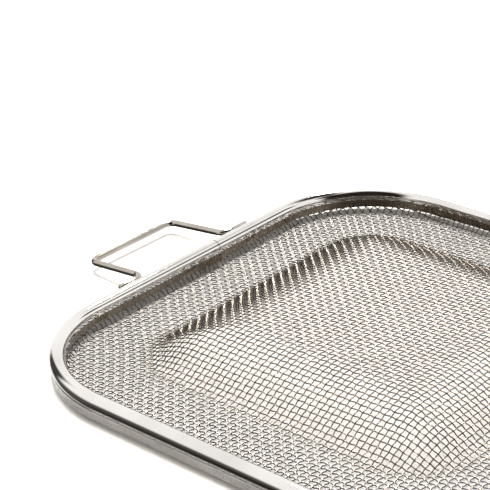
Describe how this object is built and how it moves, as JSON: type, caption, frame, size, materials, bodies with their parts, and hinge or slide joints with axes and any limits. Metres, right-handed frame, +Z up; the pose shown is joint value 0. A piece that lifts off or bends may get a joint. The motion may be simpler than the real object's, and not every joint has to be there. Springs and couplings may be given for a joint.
{
  "type": "double sieve strainer",
  "caption": "Two flat square sieves stacked in one, rounded corners, raised centre: a coarse sieve with a rolled bead rim and wire side handles, lifting off a fine sieve with a flat band rim.",
  "frame": {"origin": "middle of the footprint, on the surface it stands on", "axes": "+X from the left handle to the right handle, +Z up"},
  "size_m": [0.2778, 0.2262, 0.0134],
  "materials": {
    "polished_steel": "mirror polished stainless steel",
    "plain_steel": "drawn stainless steel rod",
    "coarse_cloth": "coarse woven stainless wire cloth",
    "fine_cloth": "fine woven stainless wire cloth",
    "satin_steel": "satin stainless strip",
    "weld_metal": "raw weld"
  },
  "bodies": {
    "fine_sieve": {"fine_rim_band": "satin_steel", "fine_rim_clamp": "satin_steel", "fine_mesh": "fine_cloth"},
    "coarse_sieve": {"coarse_rim_bead": "polished_steel", "coarse_rim_pin": "plain_steel", "coarse_mesh": "coarse_cloth", "left_handle_wire": "polished_steel", "right_handle_wire": "polished_steel", "left_near_weld": "weld_metal", "left_far_weld": "weld_metal", "right_near_weld": "weld_metal", "right_far_weld": "weld_metal"}
  },
  "joints": [
    {"name": "coarse_sieve_lift", "type": "slide", "parent": "fine_sieve", "child": "coarse_sieve", "axis": [0, 0, 1], "range_m": [0, 0.06]}
  ]
}
